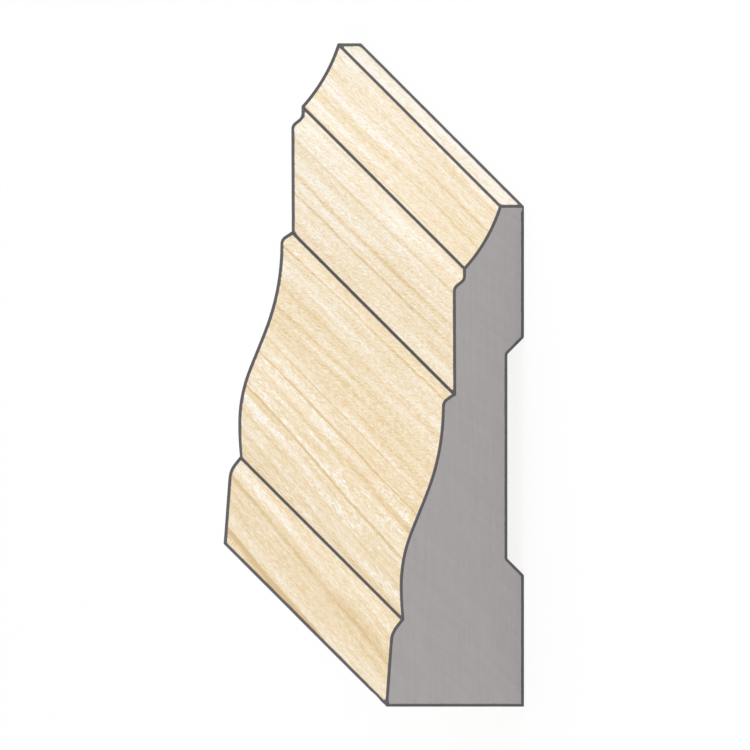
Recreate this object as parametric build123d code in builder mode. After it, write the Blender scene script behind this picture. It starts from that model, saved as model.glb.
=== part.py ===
from build123d import *
import math
import os

# A sample length of solid wood casing, the moulding that trims a door or window opening.
# It lies on its back: Z rises from the back to the moulded face, X runs across the
# width from the thick outer edge to the thin inner edge, and Y runs along the grain.
# The origin is the centre of the back plane.

# Driving dimensions in millimetres, angles in degrees

width = 63.5
length = 58.4
outer_edge_thickness = 17.46
inner_edge_thickness = 3.0

# Band beside the thick edge, falling a little to a rounded shoulder and a short bevel
band_width = 9.4
band_slope = 4.2
shoulder_radius = 3.2
bevel_width = 1.7
bevel_slope = 39.0

# Ogee: a crown that swells out of the bevel's quirk, a straight slope and a long hollow
crown_lead = 4.2
crown_rise = 0.22
crown_radius = 18.5
ogee_straight = 4.9
hollow_radius = 30.0
ogee_fall = 5.36

# Lip at the foot of the ogee, stepping down to the flat fillet
lip_level = 0.05
lip_radius = 1.2
lip_drop = 1.43
lip_slope = 57.0
fillet_rise = 0.05

# Nosing at the far side of the fillet, and the narrow land at its foot
nosing_drop = 1.29
nosing_slope = 52.0
nosing_radius = 1.1
nosing_foot_radius = 0.9
land_width = 1.37

# Cove from the land's quirk down to the thin edge
cove_width = 7.97
cove_radius = 21.5

# Relief ploughed out of the back between two flat rails
rail_width = 16.7
relief_depth = 2.1
relief_slope = 45.0
relief_corner_radius = 0.4


def rad(angle):
    return math.radians(angle)


outer_x = -width / 2
inner_x = width / 2

# Band, shoulder and bevel
shoulder = (outer_x + band_width, outer_edge_thickness - band_width * math.tan(rad(band_slope)))
quirk = (shoulder[0] + bevel_width, shoulder[1] - bevel_width * math.tan(rad(bevel_slope)))

# The slope of the ogee's straight follows from its fall, so that both arcs run into it smoothly
both_radii = crown_radius + hollow_radius
ogee_reach = math.hypot(both_radii, ogee_straight)
ogee_slope = math.degrees(
    math.acos((both_radii - ogee_fall) / ogee_reach) - math.atan2(ogee_straight, both_radii)
)
ogee_run = both_radii * math.sin(rad(ogee_slope)) + ogee_straight * math.cos(rad(ogee_slope))
crown = (quirk[0] + crown_lead, quirk[1] + crown_rise)
hollow = (crown[0] + ogee_run, crown[1] - ogee_fall)

# Lip, fillet, nosing and land
lip_width = lip_level + lip_radius * math.tan(rad(lip_slope) / 2)
lip_corner = (hollow[0] + lip_width, hollow[1])
lip_foot = (lip_corner[0] + lip_drop / math.tan(rad(lip_slope)), lip_corner[1] - lip_drop)
land_end = (inner_x - cove_width, lip_foot[1] + fillet_rise - nosing_drop)
nosing_foot = (land_end[0] - land_width, land_end[1])
nosing = (
    nosing_foot[0] - nosing_drop / math.tan(rad(nosing_slope)),
    nosing_foot[1] + nosing_drop,
)

# Relief in the back
relief_run = relief_depth / math.tan(rad(relief_slope))
mouth_x = width / 2 - rail_width
floor_x = mouth_x - relief_run

with BuildPart() as casing_moulding:
    with BuildSketch(Plane.XZ):
        with BuildLine():
            FilletPolyline(
                (outer_x, 0),
                (outer_x, outer_edge_thickness),
                shoulder,
                quirk,
                radius=(0, shoulder_radius),
            )
            TangentArc(crown, quirk, tangent=(-1, 0))
            crown_arc = JernArc(crown, (1, 0), crown_radius, -ogee_slope)
            hollow_arc = JernArc(hollow, (-1, 0), hollow_radius, -ogee_slope)
            Line(crown_arc @ 1, hollow_arc @ 1)
            FilletPolyline(
                hollow,
                lip_corner,
                lip_foot,
                nosing,
                nosing_foot,
                land_end,
                radius=(lip_radius, 0, nosing_radius, nosing_foot_radius),
            )
            RadiusArc((inner_x, inner_edge_thickness), land_end, cove_radius)
            FilletPolyline(
                (inner_x, inner_edge_thickness),
                (inner_x, 0),
                (mouth_x, 0),
                (floor_x, relief_depth),
                (-floor_x, relief_depth),
                (-mouth_x, 0),
                (outer_x, 0),
                radius=(0,) + 4 * (relief_corner_radius,),
            )
        make_face()
    extrude(amount=length / 2, both=True)

casing_moulding.part.label = "casing_moulding"

os.makedirs("parts", exist_ok=True)
export_step(casing_moulding.part, "parts/casing_moulding.step")
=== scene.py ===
import math

import bmesh
import bpy
from mathutils import Matrix, Vector, noise


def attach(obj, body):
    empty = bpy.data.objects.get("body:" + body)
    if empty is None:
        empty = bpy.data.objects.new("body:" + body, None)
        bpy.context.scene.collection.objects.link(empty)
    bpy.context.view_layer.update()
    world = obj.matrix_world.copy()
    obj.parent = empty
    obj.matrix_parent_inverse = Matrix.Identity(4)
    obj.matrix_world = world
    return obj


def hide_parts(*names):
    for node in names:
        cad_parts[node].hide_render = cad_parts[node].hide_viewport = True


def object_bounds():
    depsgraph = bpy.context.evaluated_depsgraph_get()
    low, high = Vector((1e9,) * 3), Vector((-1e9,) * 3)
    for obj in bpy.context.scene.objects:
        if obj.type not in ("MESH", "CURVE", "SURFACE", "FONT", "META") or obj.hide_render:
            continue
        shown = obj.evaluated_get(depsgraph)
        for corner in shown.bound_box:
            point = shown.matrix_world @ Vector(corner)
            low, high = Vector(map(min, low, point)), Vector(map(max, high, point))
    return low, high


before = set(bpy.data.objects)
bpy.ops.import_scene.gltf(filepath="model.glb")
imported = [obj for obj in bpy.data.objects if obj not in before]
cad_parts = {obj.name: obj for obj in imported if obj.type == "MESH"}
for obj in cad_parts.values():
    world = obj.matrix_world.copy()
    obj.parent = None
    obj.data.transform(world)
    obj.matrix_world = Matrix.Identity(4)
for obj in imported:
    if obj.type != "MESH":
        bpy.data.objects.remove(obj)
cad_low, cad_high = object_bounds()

# A sample of maple casing that lies on its back: X runs across the width from the thick
# edge to the thin one, Y along the grain and Z from the back to the moulded face.

MM = 0.001
NODE = "casing_moulding"
LENGTH = cad_high.y - cad_low.y
RELIEF_DEPTH = 2.1 * MM

# A fold in the section sharper than ARRIS_ANGLE is an arris or a quirk, and not part of a
# curve. One sharper than SQUARE_ANGLE is a square arris, and one blunter than FLAT_ANGLE is
# no fold at all.
ARRIS_ANGLE = math.radians(28)
SQUARE_ANGLE = math.radians(80)
FLAT_ANGLE = math.radians(0.3)

# How much of an edge's direction, or of a face's normal, lies along Y when it points along the grain
EDGE_ALONG = 0.99
FACE_ALONG = 0.9

# The sides are cut into cells fine enough for their unevenness: smoothing halves each rough
# cell twice. The ends are a grid inside a rim, fine enough for the saw's waves. A corner
# within END_DEPTH of either end's plane belongs to that end.
CELL = 0.48 * MM
ROUGH_CELL = 4 * CELL
END_CELL = 0.8 * MM
END_RIM = 0.4 * MM
END_DEPTH = 0.1 * MM

# Corners nearer than these are welded: of the solid's own mesh, of an end's rim, and where
# the ends meet the sides. The last is how near a corner has to be to lie on a cut.
SOLID_WELD = 0.001 * MM
RIM_WELD = 0.02 * MM
END_WELD = 0.0005 * MM
CUT_REACH = 0.0001 * MM

# How far the dark lines reach: to each side of a blunt fold in the section and of a square
# arris, round the outline of an end's face at the front and at the back, and along the sides
# from each end. The far end's is the longest. In the quirks and other hollow folds the dark line is painted
# shade; along the outer arrises and round the ends it is a plain dark line.
FOLD_LINE_REACH = 0.235 * MM
SQUARE_LINE_REACH = 0.53 * MM
RIM_LINE_REACH = 0.22 * MM
BACK_RIM_LINE_REACH = 0.37 * MM
NEAR_LINE_REACH = 0.5 * MM
FAR_LINE_REACH = 1.15 * MM

# Wear on the square arrises, unevenness of the sides, and the waves that a saw blade leaves
# round its axis, which is given in millimetres as X and Z
ARRIS_WEAR = 0.03 * MM
DENT_DEPTH = 0.12 * MM
UNEVENNESS = 0.015 * MM
SAW = (-110, -60)
SAW_PITCH = 4.2
SAW_DEPTH = 0.02 * MM


def make_active(piece):
    bpy.ops.object.select_all(action="DESELECT")
    piece.select_set(True)
    bpy.context.view_layer.objects.active = piece


def in_edit_mode(piece):
    make_active(piece)
    bpy.ops.object.mode_set(mode="EDIT")


def pick(piece, kind, wanted):
    """Selects the faces or edges of a piece for which wanted() is true. The piece is in edit mode."""
    shape = bmesh.from_edit_mesh(piece.data)
    bpy.context.tool_settings.mesh_select_mode = (False, kind == "edges", kind == "faces")
    bpy.ops.mesh.select_all(action="DESELECT")
    for part in getattr(shape, kind):
        part.select_set(wanted(part))
    shape.select_flush_mode()
    bmesh.update_edit_mesh(piece.data)


def runs_along(edge):
    """True for an edge that runs with the grain."""
    way = (edge.verts[1].co - edge.verts[0].co).normalized()
    return abs(way.y) > EDGE_ALONG


def is_arris(edge):
    return runs_along(edge) and edge.calc_face_angle(0) > ARRIS_ANGLE


def split_long_edges(piece, step, along):
    """Cuts the section's long runs, or the length, into even parts no longer than step."""
    shape = bmesh.from_edit_mesh(piece.data)
    lengths = {round(edge.calc_length(), 6) for edge in shape.edges if runs_along(edge) == along}
    for length in sorted(lengths):
        cuts = math.ceil(length / step) - 1
        if cuts > 0:
            pick(piece, "edges", lambda edge: (
                runs_along(edge) == along and round(edge.calc_length(), 6) == length
            ))
            bpy.ops.mesh.subdivide(number_cuts=cuts, quadcorner="INNERVERT")


def planed_sides(node):
    """The casing's planed sides as an open tube: a copy of the solid's, with the curves made smooth."""
    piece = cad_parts[node].copy()
    piece.data = piece.data.copy()
    piece.name = "maple_casing"
    piece.parent = None
    for key in list(piece.keys()):
        del piece[key]
    piece.data.materials.clear()
    bpy.context.scene.collection.objects.link(piece)

    in_edit_mode(piece)
    bpy.ops.mesh.select_all(action="SELECT")
    bpy.ops.mesh.remove_doubles(threshold=SOLID_WELD)
    bpy.ops.mesh.dissolve_limited(angle_limit=FLAT_ANGLE, use_dissolve_boundaries=False)
    pick(piece, "faces", lambda face: abs(face.normal.y) > FACE_ALONG)
    bpy.ops.mesh.delete(type="FACE")
    pick(piece, "edges", is_arris)
    bpy.ops.transform.edge_crease(value=1)
    for along in (False, True):
        split_long_edges(piece, step=ROUGH_CELL, along=along)
    bpy.ops.object.mode_set(mode="OBJECT")

    smooth = piece.modifiers.new("smooth_curves", "SUBSURF")
    smooth.levels = smooth.render_levels = 2
    smooth.boundary_smooth = "PRESERVE_CORNERS"
    bpy.ops.object.modifier_apply(modifier=smooth.name)
    return piece


def sawn_end(sides):
    """The near end, cut square: the sides' outline filled, with a rim, and a grid inside it."""
    in_edit_mode(sides)
    pick(sides, "edges", lambda edge: edge.is_boundary and edge.verts[0].co.y < 0)
    bpy.ops.mesh.duplicate()
    bpy.ops.mesh.separate(type="SELECTED")
    bpy.ops.object.mode_set(mode="OBJECT")
    end = next(piece for piece in bpy.context.selected_objects if piece != sides)

    in_edit_mode(end)
    bpy.ops.mesh.select_all(action="SELECT")
    bpy.ops.mesh.fill(use_beauty=True)
    bpy.ops.mesh.normals_make_consistent(inside=False)
    bpy.ops.mesh.inset(thickness=END_RIM, use_even_offset=True)
    bpy.ops.mesh.remove_doubles(threshold=RIM_WELD)
    for axis in (0, 2):
        start, stop = cad_low[axis], cad_high[axis]
        count = round((stop - start) / END_CELL)
        for step in range(1, count):
            place, way = [0, 0, 0], [0, 0, 0]
            place[axis] = start + step * (stop - start) / count
            way[axis] = 1
            pick(end, "faces", lambda face: not any(edge.is_boundary for edge in face.edges))
            bpy.ops.mesh.bisect(plane_co=place, plane_no=way, threshold=CUT_REACH)
    bpy.ops.object.mode_set(mode="OBJECT")
    return end


def close_ends(sides):
    """Welds a sawn end, and a copy of it at the far end, to the open sides."""
    near = sawn_end(sides)
    far = near.copy()
    far.data = near.data.copy()
    bpy.context.scene.collection.objects.link(far)
    far.data.transform(Matrix.Translation((0, LENGTH, 0)))
    bpy.ops.object.select_all(action="DESELECT")
    for piece in (near, far, sides):
        piece.select_set(True)
    bpy.context.view_layer.objects.active = sides
    bpy.ops.object.join()
    in_edit_mode(sides)
    bpy.ops.mesh.select_all(action="SELECT")
    bpy.ops.mesh.remove_doubles(threshold=END_WELD)
    bpy.ops.mesh.normals_make_consistent(inside=False)
    bpy.ops.object.mode_set(mode="OBJECT")


def at_end(corner):
    return abs(corner.co.y) > cad_high.y - END_DEPTH


def is_end(face):
    return all(at_end(corner) for corner in face.verts)


def behind(x, z):
    """True for a place on an end that lies beside the back or the thick edge."""
    beside = 1.5 * END_RIM
    return x < cad_low.x + beside or (x < cad_high.x - beside and z < RELIEF_DEPTH + beside)


def measure_edge_lines(piece):
    """Stores as from_dark_line how far each corner lies from the middle of the nearest dark line, where
    1 is that line's edge. A square arris has a wider line than a blunt one or a quirk, and the lines
    beside the ends narrow where the section slopes. An end's own face has a line round its outline.
    In the quirks the dark line is painted shade."""
    shape = bmesh.new()
    shape.from_mesh(piece.data)
    folds = {
        (round(edge.verts[0].co.x, 6), round(edge.verts[0].co.z, 6)): (
            SQUARE_LINE_REACH if edge.calc_face_angle() > SQUARE_ANGLE else FOLD_LINE_REACH
        )
        for edge in shape.edges
        if is_arris(edge)
    }
    shape.normal_update()
    from_dark_line = shape.verts.layers.float.new("from_dark_line")
    outline = {
        corner for corner in shape.verts if at_end(corner) and not all(map(is_end, corner.link_faces))
    }
    for corner in shape.verts:
        x, y, z = corner.co
        if at_end(corner) and corner not in outline:
            on_rim = any(other in outline for face in corner.link_faces for other in face.verts)
            reach = BACK_RIM_LINE_REACH if behind(x, z) else RIM_LINE_REACH
            corner[from_dark_line] = (1 if on_rim else 2) * END_RIM / reach
        else:
            slope = abs(corner.normal.x) + abs(corner.normal.z)
            corner[from_dark_line] = min(
                (y - cad_low.y) * slope / NEAR_LINE_REACH,
                (cad_high.y - y) * slope / FAR_LINE_REACH,
                *(math.hypot(x - fold[0], z - fold[1]) / reach for fold, reach in folds.items()),
            )
    shape.to_mesh(piece.data)
    shape.free()


def wear(piece):
    """Wears and dents the square arrises, leaves the saw's faint waves on the ends, and makes the
    planed sides as slightly uneven as sanded wood. Nothing moves outwards."""
    shape = bmesh.new()
    shape.from_mesh(piece.data)
    shape.normal_update()
    for corner in shape.verts:
        x, y, z = corner.co / MM
        if all(is_end(face) for face in corner.link_faces):
            wave = math.sin(2 * math.pi * math.hypot(x - SAW[0], z - SAW[1]) / SAW_PITCH)
            corner.co.y -= math.copysign(SAW_DEPTH * (1 + wave) / 2, corner.co.y)
        else:
            along = [edge for edge in corner.link_edges if runs_along(edge)]
            if any(edge.calc_face_angle() > SQUARE_ANGLE for edge in along):
                rub = 0.5 + 0.5 * noise.noise((x, y / 6, z))
                dent = max(0, noise.noise((x, y / 2, z + 50)) - 0.4)
                depth = ARRIS_WEAR * rub + DENT_DEPTH * dent
            else:
                depth = UNEVENNESS * (0.5 + 0.5 * noise.noise((x / 1.8, y / 24, z / 1.8)))
            outwards = Vector((corner.normal.x, 0, corner.normal.z)).normalized()
            corner.co -= outwards * depth
        corner.co.y = min(max(corner.co.y, cad_low.y), cad_high.y)
    shape.to_mesh(piece.data)
    shape.free()


casing = planed_sides(NODE)
close_ends(casing)
measure_edge_lines(casing)
wear(casing)
make_active(casing)
bpy.ops.object.shade_smooth_by_angle(angle=ARRIS_ANGLE)


def linear(hex_colour):
    """An sRGB hex colour as the linear colour that the shaders work in."""
    parts = [int(hex_colour[i : i + 2], 16) / 255 for i in (1, 3, 5)]
    return [p / 12.92 if p <= 0.04045 else ((p + 0.055) / 1.055) ** 2.4 for p in parts] + [1]


def add(tree, kind, links=None, **settings):
    """Adds a shader node, sets its properties, links or sets its inputs by name or number, and gives
    its first output in use."""
    made = tree.nodes.new("ShaderNode" + kind)
    for name, value in settings.items():
        setattr(made, name, value)
    for name, value in (links or {}).items():
        if isinstance(value, bpy.types.NodeSocket):
            tree.links.new(value, made.inputs[name])
        else:
            made.inputs[name].default_value = value
    return next(socket for socket in made.outputs if socket.enabled)


def start_material(name):
    """A new material, its tree, its shader, and the place on the piece in millimetres."""
    material = bpy.data.materials.new(name)
    material.use_nodes = True
    tree = material.node_tree
    place = add(tree, "TexCoord").node.outputs["Object"]
    here = add(tree, "VectorMath", {0: place, "Scale": 1 / MM}, operation="SCALE")
    return material, tree, tree.nodes["Principled BSDF"], here


# The tree's pith lay above and beyond the thick edge: the growth rings are sleeves round it
PITH = (-110, 0, 85)

# The dark growth lines: distance from the pith in millimetres, how far each one fades towards
# the pith and away from it, and how dark it is
GROWTH_LINES = [
    (103.9, 1.4, 0.5, 1.7),
    (106.7, 0.4, 0.3, 0.3),
    (109.2, 4, 0.3, 0.3),
    (109.3, 1.0, 0.3, 0.95),
    (114.9, 0.7, 0.4, 0.35),
    (117.4, 0.9, 0.3, 0.5),
    (120.3, 0.4, 0.28, 1.2),
    (123.3, 0.9, 0.6, 0.55),
    (125.3, 0.25, 0.2, 1.0),
    (127.4, 0.2, 0.25, 0.75),
    (131, 8, 4, 0.25),
    (131.9, 0.45, 0.3, 0.7),
    (134.3, 0.8, 0.4, 0.45),
    (138.7, 0.3, 0.22, 0.9),
    (145.0, 0.6, 0.2, 1.1),
    (147.1, 0.6, 0.25, 0.6),
    (150.9, 0.5, 0.25, 0.65),
    (155.1, 0.25, 0.3, 0.35),
    (157.5, 0.2, 0.18, 0.55),
    (159.9, 0.15, 0.15, 0.55),
]


def grain_frame(tree, here):
    """A place in the growth of the tree, and its distance from the pith, which is also the place's X.
    Y runs along the trunk, all in millimetres. The rings fan apart towards the thick edge, and they
    wander as the trunk did."""
    wander = add(tree, "TexNoise", {
        "Vector": add(tree, "VectorMath", {0: here, 1: (1 / 7, 1 / 26, 1 / 7)}, operation="MULTIPLY"),
        "Scale": 1, "Detail": 1,
    }, normalize=False).node.outputs["Color"]
    ripple = add(tree, "TexNoise", {
        "Vector": add(tree, "VectorMath", {0: here, 1: (1 / 1.3, 1 / 5, 1 / 1.3)}, operation="MULTIPLY"),
        "Scale": 1, "Detail": 2,
    }, normalize=False).node.outputs["Color"]
    swayed = add(tree, "VectorMath", {0: wander, 1: (0.28, 0, 0.28), 2: here}, operation="MULTIPLY_ADD")
    swayed = add(tree, "VectorMath", {0: ripple, 1: (0.1, 0, 0.1), 2: swayed}, operation="MULTIPLY_ADD")

    across = add(tree, "SeparateXYZ", {"Vector": here})
    along = across.node.outputs["Y"]
    fan = add(tree, "MapRange", {
        "Value": across, "From Min": -19, "From Max": -3, "To Min": -0.066, "To Max": 0.008,
    })
    lean = add(tree, "Math", {0: fan, 1: along}, operation="MULTIPLY")
    leant = add(tree, "VectorMath", {0: swayed, 1: add(tree, "CombineXYZ", {"X": lean})}, operation="ADD")
    level = add(tree, "VectorMath", {0: leant, 1: (1, 0, 1)}, operation="MULTIPLY")
    ring = add(tree, "VectorMath", {0: level, 1: PITH}, operation="DISTANCE")
    depth = add(tree, "Math", {0: across, 1: 0.2}, operation="MULTIPLY")
    return add(tree, "CombineXYZ", {"X": ring, "Y": along, "Z": depth}), ring


def planed_maple():
    """Maple, moulded and sanded bare: cream wood with soft tan growth lines and fine leaning ray flecks."""
    material, tree, shader, here = start_material("planed_maple")
    across = add(tree, "SeparateXYZ", {"Vector": here})
    grain, ring = grain_frame(tree, here)

    # Tone runs from 0, dark tan, to 1, near white: it rises from the thick edge to the thin one, and
    # a little from the near end to the far one. The thin edge's own narrow face is made palest, which is
    # painted light.
    tone = add(tree, "MapRange", {
        "Value": across, "From Min": -32, "From Max": 32, "To Min": 0.53, "To Max": 0.66,
    })
    # Painted light: the thin edge's narrow face is made paler than the wood beside it
    thin_edge_painted_light = add(tree, "MapRange", {
        "Value": across, "From Min": 31.7, "From Max": 31.75, "To Max": 0.26,
    })
    tone = add(tree, "Math", {0: tone, 1: thin_edge_painted_light}, operation="ADD")
    along = across.node.outputs["Y"]
    tone = add(tree, "Math", {0: along, 1: 0.0012, 2: tone}, operation="MULTIPLY_ADD")

    # A pale strip of sapwood beside the nosing, stronger towards the far end
    from_nosing = add(tree, "Math", {0: across, 1: 21.6}, operation="SUBTRACT")
    strip = add(tree, "MapRange", {
        "Value": add(tree, "Math", {0: from_nosing}, operation="ABSOLUTE"),
        "From Min": 1.2, "From Max": 3, "To Min": 1, "To Max": 0,
    })
    sapwood = add(tree, "MapRange", {"Value": along, "From Min": -25, "From Max": 15, "To Max": 0.15})
    tone = add(tree, "Math", {0: strip, 1: sapwood, 2: tone}, operation="MULTIPLY_ADD")

    latewood = 0.0
    for place, fade_in, fade_out, depth in GROWTH_LINES:
        rise = add(tree, "MapRange", {
            "Value": ring, "From Min": place - fade_in, "From Max": place, "To Max": depth,
        }, interpolation_type="SMOOTHSTEP")
        fall = add(tree, "MapRange", {
            "Value": ring, "From Min": place, "From Max": place + fade_out, "To Min": depth, "To Max": 0,
        }, interpolation_type="SMOOTHSTEP")
        line = add(tree, "Math", {0: rise, 1: fall}, operation="MINIMUM")
        latewood = add(tree, "Math", {0: latewood, 1: line}, operation="MAXIMUM")
    fading = add(tree, "TexNoise", {
        "Vector": add(tree, "VectorMath", {0: grain, 1: (1 / 1.2, 1 / 10, 0)}, operation="MULTIPLY"),
        "Scale": 1, "Detail": 3,
    }, normalize=False)
    strength = add(tree, "Math", {0: fading, 1: -0.2, 2: -0.42}, operation="MULTIPLY_ADD")
    tone = add(tree, "Math", {0: latewood, 1: strength, 2: tone}, operation="MULTIPLY_ADD")

    # Fainter stripes between the growth lines, from a tenth of a millimetre to two wide
    stripes = add(tree, "TexNoise", {
        "Vector": add(tree, "VectorMath", {0: grain, 1: (1 / 1.2, 1 / 60, 0)}, operation="MULTIPLY"),
        "Scale": 1, "Detail": 4, "Roughness": 0.68,
    }, normalize=False)
    tone = add(tree, "Math", {0: stripes, 1: 0.25, 2: tone}, operation="MULTIPLY_ADD")

    # Ray flecks: fine strokes that lean across the grain, least of all towards the two edges
    slanted, straight = (
        add(tree, "TexNoise", {
            "Vector": add(tree, "Mapping", {
                "Vector": grain, "Rotation": (0, 0, math.radians(lean)), "Scale": stroke,
            }, vector_type="TEXTURE"),
            "Scale": 1, "Detail": 2, "Roughness": 0.6, "Distortion": 0.3,
        }, normalize=False)
        for lean, stroke in ((11, (0.14, 1.4, 0.3)), (4, (0.15, 1.7, 0.3)))
    )
    from_middle = add(tree, "Math", {0: across, 1: 9}, operation="SUBTRACT")
    share = add(tree, "MapRange", {
        "Value": add(tree, "Math", {0: from_middle}, operation="ABSOLUTE"),
        "From Min": 13, "From Max": 17, "To Min": 0.95, "To Max": 0.2,
    })
    flecks = add(tree, "Mix", {"Factor": share, "A": straight, "B": slanted})
    tone = add(tree, "Math", {0: flecks, 1: 0.36, 2: tone}, operation="MULTIPLY_ADD")

    # Pores: a fine mottle all over, drawn coarser than real ones so that it shows
    pores = add(tree, "TexNoise", {
        "Vector": add(tree, "VectorMath", {0: here, 1: (1 / 0.2, 1 / 0.35, 1 / 0.2)}, operation="MULTIPLY"),
        "Scale": 1, "Detail": 1,
    }, normalize=False)
    tone = add(tree, "Math", {0: pores, 1: 0.2, 2: tone}, operation="MULTIPLY_ADD")

    # Here and there the wood shines pale in short curls, most of all round the ogee's crown
    curls = add(tree, "TexNoise", {
        "Vector": add(tree, "Mapping", {
            "Vector": grain, "Rotation": (0, 0, math.radians(4)), "Scale": (0.26, 1.4, 1),
        }, vector_type="TEXTURE"),
        "Scale": 1, "Detail": 3, "Roughness": 0.65, "Distortion": 0.8,
    }, normalize=False)
    clusters = add(tree, "TexNoise", {
        "Vector": add(tree, "VectorMath", {0: grain, 1: (1 / 1.5, 1 / 16, 0)}, operation="MULTIPLY"),
        "Scale": 1, "Detail": 2,
    }, normalize=False)
    from_crown = add(tree, "Math", {0: across, 1: -12}, operation="SUBTRACT")
    reach = add(tree, "MapRange", {
        "Value": add(tree, "Math", {0: from_crown}, operation="ABSOLUTE"),
        "From Min": 5, "From Max": 9, "To Min": 0.42, "To Max": 0.15,
    })
    cluster = add(tree, "MapRange", {"Value": clusters, "From Min": -0.2, "From Max": 0.25})
    curl = add(tree, "MapRange", {"Value": curls, "From Min": 0.0, "From Max": 0.3})
    open_wood = add(tree, "MapRange", {"Value": latewood, "From Max": 0.6, "To Min": 1, "To Max": 0})
    pale = add(tree, "Math", {0: cluster, 1: curl}, operation="MULTIPLY")
    pale = add(tree, "Math", {0: pale, 1: open_wood}, operation="MULTIPLY")
    tone = add(tree, "Math", {0: pale, 1: reach, 2: tone}, operation="MULTIPLY_ADD")

    shades = add(tree, "ValToRGB", {"Fac": tone}).node
    stops = [
        (0, "#D7BB8A"), (0.3, "#E7CEA2"), (0.5, "#EFDAB6"),
        (0.7, "#F5E6CC"), (0.85, "#F9F0DE"), (1, "#FDF9F1"),
    ]
    for place, _ in stops[1:-1]:
        shades.color_ramp.elements.new(place)
    for stop, (place, shade) in zip(shades.color_ramp.elements, stops):
        stop.position = place
        stop.color = linear(shade)
    colour = shades.outputs["Color"]

    # Dark lines along the arrises and round the ends, and painted shade in the quirks
    tree.links.new(edge_lines_and_painted_shade(tree, here, colour, "#4C4A4D"), shader.inputs["Base Color"])
    shader.inputs["Roughness"].default_value = 0.55
    shader.inputs["Specular IOR Level"].default_value = 0.3
    relief = add(tree, "Bump", {"Height": flecks, "Strength": 0.12, "Distance": 0.05})
    tree.links.new(relief, shader.inputs["Normal"])
    return material


def edge_lines_and_painted_shade(tree, here, colour, dark_shade):
    """Colour with dark lines along arrises, quirks and end rims. In the quirks the dark line is
    painted shade; elsewhere it is a plain dark line along the edge."""
    burr = add(tree, "TexNoise", {
        "Vector": add(tree, "VectorMath", {0: here, 1: (1 / 0.5, 1 / 1.5, 1 / 0.5)}, operation="MULTIPLY"),
        "Scale": 1, "Detail": 2,
    }, normalize=False)
    ragged = add(tree, "Math", {0: burr, 1: 0.08, 2: 1}, operation="MULTIPLY_ADD")
    away = add(tree, "Attribute", attribute_name="from_dark_line").node.outputs["Fac"]
    away = add(tree, "Math", {0: away, 1: ragged}, operation="MULTIPLY")
    dark = add(tree, "MapRange", {
        "Value": away, "From Min": 0.9, "From Max": 1.1, "To Min": 1, "To Max": 0,
    })
    return add(tree, "MixRGB", {"Fac": dark, "Color1": colour, "Color2": linear(dark_shade)})


def grey_end_seal():
    """Grey sealer brushed over sawn end grain: even and matt, with the rings just telling through."""
    material, tree, shader, here = start_material("grey_end_seal")
    grain, _ = grain_frame(tree, here)
    rings = add(tree, "TexNoise", {
        "Vector": add(tree, "VectorMath", {0: grain, 1: (1 / 0.9, 0, 1 / 1.5)}, operation="MULTIPLY"),
        "Scale": 1, "Detail": 2,
    }, normalize=False)
    brushed = add(tree, "TexNoise", {
        "Vector": add(tree, "VectorMath", {0: here, 1: (1 / 9, 0, 1 / 0.5)}, operation="MULTIPLY"),
        "Scale": 1, "Detail": 3,
    }, normalize=False)
    both = add(tree, "Math", {0: rings, 1: brushed}, operation="ADD")
    share = add(tree, "MapRange", {"Value": both, "From Min": -0.7, "From Max": 0.7})
    colour = add(tree, "MixRGB", {
        "Fac": share, "Color1": linear("#A5A1A1"), "Color2": linear("#A9A5A5"),
    })
    tree.links.new(edge_lines_and_painted_shade(tree, here, colour, "#5B595C"), shader.inputs["Base Color"])
    relief = add(tree, "Bump", {"Height": both, "Strength": 0.05, "Distance": 0.05})
    tree.links.new(relief, shader.inputs["Normal"])
    shader.inputs["Roughness"].default_value = 0.7
    shader.inputs["Specular IOR Level"].default_value = 0.2
    return material


casing.data.materials.append(planed_maple())
casing.data.materials.append(grey_end_seal())
corners = casing.data.vertices
for face in casing.data.polygons:
    face.material_index = int(all(at_end(corners[i]) for i in face.vertices))

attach(casing, "root")
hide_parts(NODE)


def white_for_camera(tree, surface, share):
    """Mixes plain white over a surface for the camera and for mirrors, so that it reads as white."""
    path = add(tree, "LightPath").node.outputs
    seen = add(tree, "Math", {0: path["Is Camera Ray"], 1: path["Is Glossy Ray"]}, operation="MAXIMUM")
    seen = add(tree, "Math", {0: seen, 1: path["Is Transmission Ray"]}, operation="MAXIMUM")
    share = add(tree, "Math", {0: seen, 1: share}, operation="MULTIPLY")
    white = add(tree, "Emission", {"Color": (1, 1, 1, 1), "Strength": 1})
    return add(tree, "MixShader", {0: share, 1: surface, 2: white})


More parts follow.
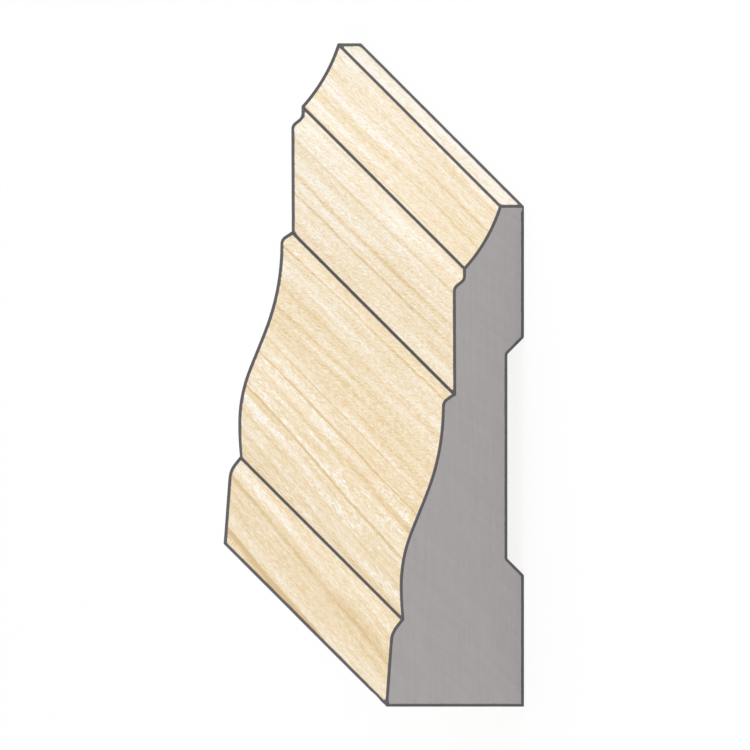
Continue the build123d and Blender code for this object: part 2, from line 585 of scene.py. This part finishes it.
def lay_floor():
    """A pale matt floor that keeps a little of its shadow under the white."""
    bpy.ops.mesh.primitive_plane_add(size=8, location=(0, 0, 0))
    floor = bpy.context.object
    floor.name = "floor"
    material, tree, shader, _ = start_material("pale_floor")
    tree.nodes.remove(shader)
    matt = add(tree, "BsdfDiffuse", {"Color": linear("#FDFDFD")})
    out = tree.nodes["Material Output"]
    tree.links.new(white_for_camera(tree, matt, 0.88), out.inputs["Surface"])
    floor.data.materials.append(material)


def light_studio():
    """An even white room, and one large soft lamp from beside the thin edge."""
    world = bpy.data.worlds.new("studio")
    bpy.context.scene.world = world
    world.use_nodes = True
    tree = world.node_tree
    soft = add(tree, "Background", {"Color": (1, 1, 1, 1), "Strength": 0.92})
    white = add(tree, "Background", {"Color": (1, 1, 1, 1), "Strength": 1})
    seen = add(tree, "LightPath").node.outputs["Is Camera Ray"]
    mixed = add(tree, "MixShader", {0: seen, 1: soft, 2: white})
    tree.links.new(mixed, tree.nodes["World Output"].inputs["Surface"])

    lamp = bpy.data.objects.new("soft_key", bpy.data.lights.new("soft_key", "AREA"))
    lamp.data.shape = "DISK"
    lamp.data.size = 0.5
    lamp.data.energy = 0.78
    lamp.location = (0.42, -0.22, 0.53)
    lamp.rotation_mode = "QUATERNION"
    lamp.rotation_quaternion = lamp.location.to_track_quat("Z", "Y")
    bpy.context.scene.collection.objects.link(lamp)


def place_camera():
    """A camera that draws as the reference does: the near end true to size, and the length at half scale
    along 45 degrees. The thick edge is at the foot of the picture, so up is +X and right is -Z."""
    scale = 7.885 / MM
    frame_pixels = 750
    right, up = Vector((0, 0, -1)), Vector((1, 0, 0))
    slide = 0.5 / math.sqrt(2)
    back = Vector((slide, -1, slide)).normalized()
    centre = Vector((cad_low.x + 42.07 * MM, cad_low.y, 18.9 * MM))
    distance = 1.0

    camera = bpy.data.objects.new("camera", bpy.data.cameras.new("camera"))
    camera.data.type = "ORTHO"
    camera.data.ortho_scale = frame_pixels / scale
    bpy.context.scene.collection.objects.link(camera)
    bpy.context.scene.camera = camera
    easel = bpy.data.objects.new("easel", None)
    bpy.context.scene.collection.objects.link(easel)
    camera.parent = easel
    slant = Matrix((right, up, back)).transposed().to_4x4()
    slant.translation = centre + back * distance
    camera.matrix_parent_inverse = slant


lay_floor()
light_studio()
place_camera()
bpy.context.scene.view_settings.view_transform = "Standard"
